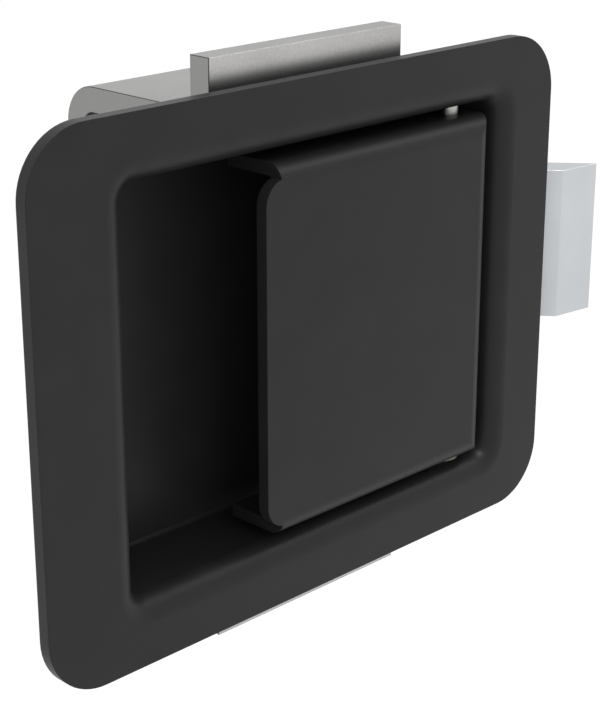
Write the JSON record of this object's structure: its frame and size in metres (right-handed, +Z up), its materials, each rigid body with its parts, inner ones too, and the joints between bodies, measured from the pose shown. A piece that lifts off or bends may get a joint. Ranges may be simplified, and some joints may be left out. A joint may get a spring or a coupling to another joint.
{
  "type": "push-to-close latch",
  "caption": "Flush paddle latch for a door or drawer panel: lifting the paddle draws the sprung bolt back, and pushing the door shut snaps the bolt in.",
  "frame": {"origin": "centre of the pressed plate on its back face, the plane that lies on the door panel", "axes": "+X towards the latch bolt, +Y through the panel into the door, +Z up along the hinge pin"},
  "size_m": [0.1685, 0.0584, 0.1168],
  "materials": {
    "black_coat": "satin black powder coat on steel sheet",
    "zinc_sheet": "zinc-plated steel sheet",
    "zinc_bolt": "bright zinc plate with a blue cast",
    "zinc_strap": "zinc-plated rolled steel strap",
    "zinc_fastener": "zinc-plated fasteners",
    "bare_steel": "bright turned steel",
    "spring_steel": "oiled spring steel",
    "acetal": "natural acetal",
    "rubber": "matt black rubber"
  },
  "bodies": {
    "frame": {"pan": "black_coat", "bolt_housing": "zinc_sheet", "housing_rivets": "bare_steel", "bolt_guides": "acetal", "guide_rivets": "bare_steel", "spring_rods": "bare_steel", "slide_spring_rod": "bare_steel", "upper_bolt_spring": "spring_steel", "lower_bolt_spring": "spring_steel", "slide_spring": "spring_steel", "hinge_pin": "bare_steel", "pin_clip": "spring_steel", "paddle_bumpers": "rubber", "clamp_bracket": "zinc_strap", "clamp_studs": "zinc_fastener", "clamp_washers": "zinc_fastener", "clamp_nuts": "zinc_fastener"},
    "paddle": {"paddle": "black_coat", "drive_lever": "zinc_sheet", "drive_pin": "bare_steel"},
    "release": {"release_slide": "zinc_sheet", "spring_button": "bare_steel"},
    "bolt": {"bolt": "zinc_bolt"}
  },
  "joints": [
    {"name": "paddle_hinge", "type": "hinge", "parent": "frame", "child": "paddle", "pos_m": [0.0441, 0.0041, 0], "axis": [0, 0, 1], "range_deg": [0, 32]},
    {"name": "release_travel", "type": "slide", "parent": "frame", "child": "release", "axis": [-1, 0, 0], "range_m": [0, 0.01202], "stiffness_N_per_m": 500, "springref_m": -0.006, "deforming": ["slide_spring"]},
    {"name": "bolt_travel", "type": "slide", "parent": "release", "child": "bolt", "axis": [-1, 0, 0], "range_m": [0, 0.0115], "stiffness_N_per_m": 600, "springref_m": -0.014, "deforming": ["upper_bolt_spring", "lower_bolt_spring"]}
  ],
  "couplings": [
    {"joint": "release_travel", "follows": "paddle_hinge", "m_per_rad": 0.0215}
  ]
}
